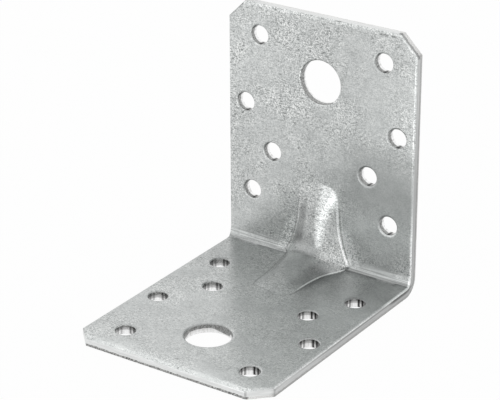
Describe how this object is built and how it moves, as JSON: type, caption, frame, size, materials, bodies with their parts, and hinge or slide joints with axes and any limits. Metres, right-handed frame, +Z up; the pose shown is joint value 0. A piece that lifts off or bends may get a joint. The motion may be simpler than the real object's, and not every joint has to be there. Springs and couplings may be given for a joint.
{
  "type": "reinforced angle bracket",
  "caption": "Right-angle bracket folded from one galvanised steel sheet, with nail and bolt holes in both legs and a pressed rib across the fold.",
  "frame": {"origin": "middle of the bracket's outline, seen from above, on the plane of the base leg's outer face", "axes": "+X along the fold, +Y out of the back of the wall leg, +Z up along the wall leg"},
  "size_m": [0.056, 0.07, 0.07],
  "materials": {
    "zinc_coated_steel": "satin galvanised, fine mottled zinc grain"
  },
  "bodies": {
    "root": {"bracket": "zinc_coated_steel"}
  },
  "joints": []
}
